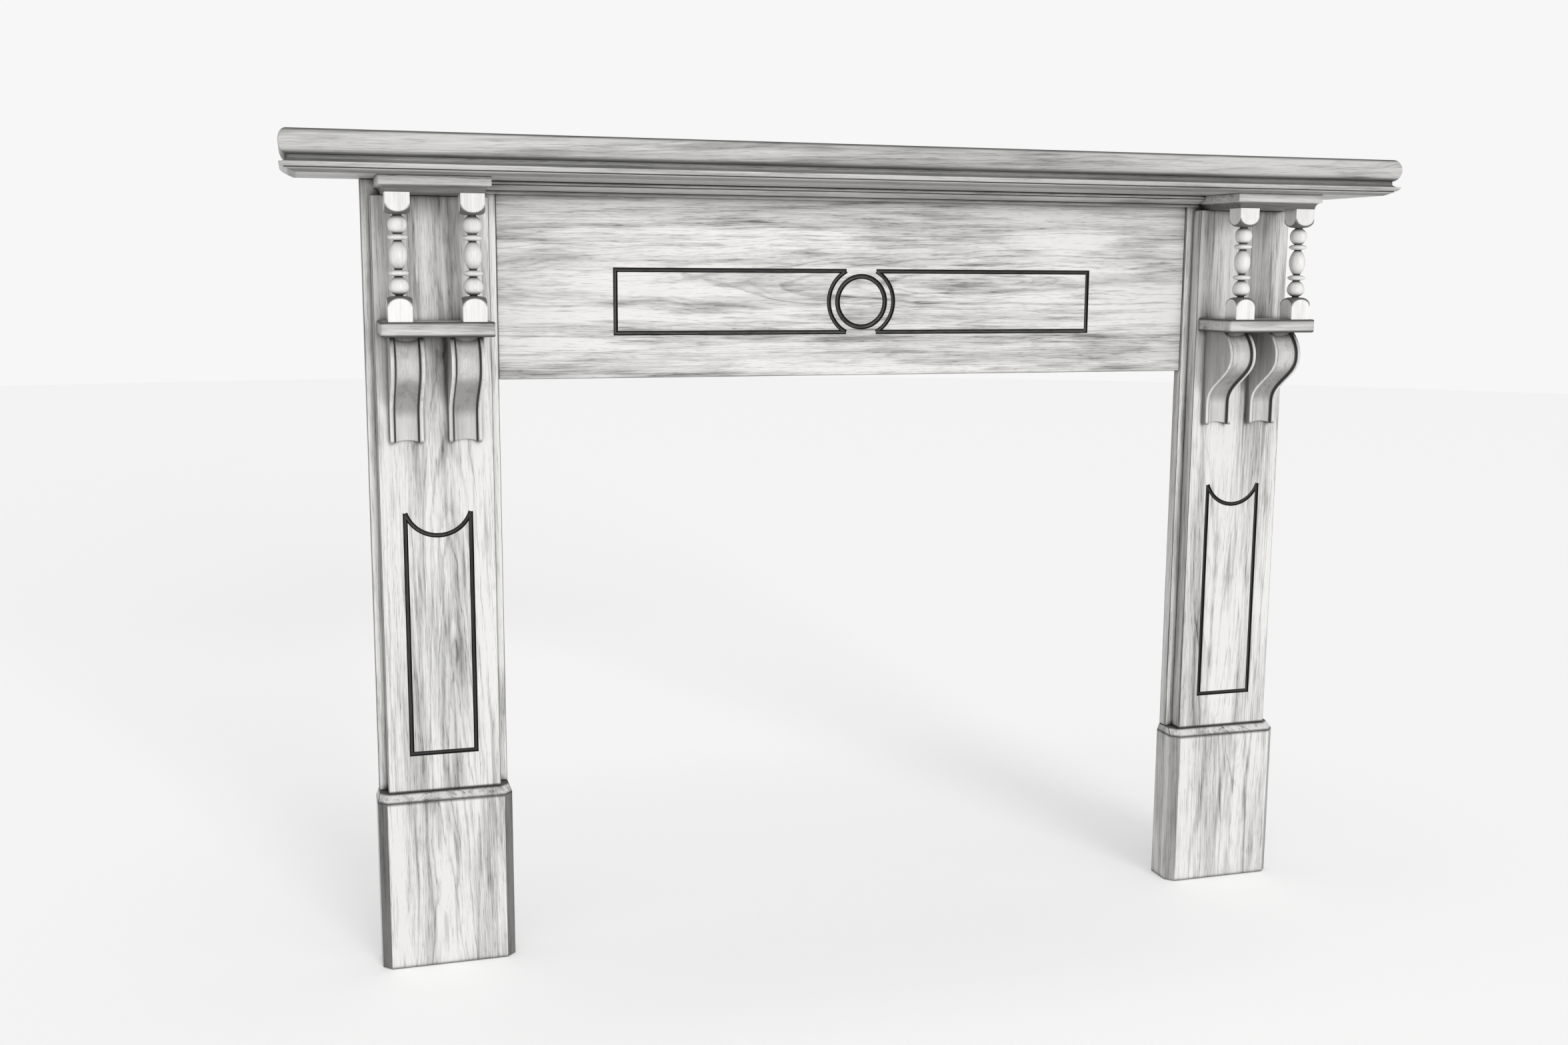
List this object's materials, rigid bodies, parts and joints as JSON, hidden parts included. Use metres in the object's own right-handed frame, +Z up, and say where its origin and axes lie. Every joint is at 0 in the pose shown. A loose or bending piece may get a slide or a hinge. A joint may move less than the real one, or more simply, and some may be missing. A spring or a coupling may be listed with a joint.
{
  "type": "fireplace mantelpiece",
  "caption": "Oak fireplace mantelpiece: bullnosed shelf and incised frieze on pilaster legs with plinths, turned spindles and fluted S-brackets.",
  "frame": {"origin": "on the floor, midway along the mantelpiece and midway between the nose of the shelf and the wall side", "axes": "+X along the shelf, to the right for someone facing the mantelpiece; +Y towards the wall; +Z up"},
  "size_m": [1.72, 0.172, 1.22],
  "materials": {
    "shelf_oak": "satin limed oak, grain along the board",
    "board_oak": "satin limed oak, bold cathedral grain",
    "carved_oak": "satin limed oak, carved",
    "turned_oak": "satin limed oak, turned"
  },
  "bodies": {
    "root": {"shelf_slab": "shelf_oak", "shelf_moulding": "shelf_oak", "frieze_board": "board_oak", "bed_mould": "shelf_oak", "left_plinth": "board_oak", "left_stile": "board_oak", "left_pilaster": "board_oak", "left_cap": "shelf_oak", "left_small_shelf": "shelf_oak", "left_spindle_outer": "turned_oak", "left_spindle_inner": "turned_oak", "left_bracket_outer": "carved_oak", "left_bracket_inner": "carved_oak", "right_plinth": "board_oak", "right_stile": "board_oak", "right_pilaster": "board_oak", "right_cap": "shelf_oak", "right_small_shelf": "shelf_oak", "right_spindle_outer": "turned_oak", "right_spindle_inner": "turned_oak", "right_bracket_outer": "carved_oak", "right_bracket_inner": "carved_oak"}
  },
  "joints": []
}
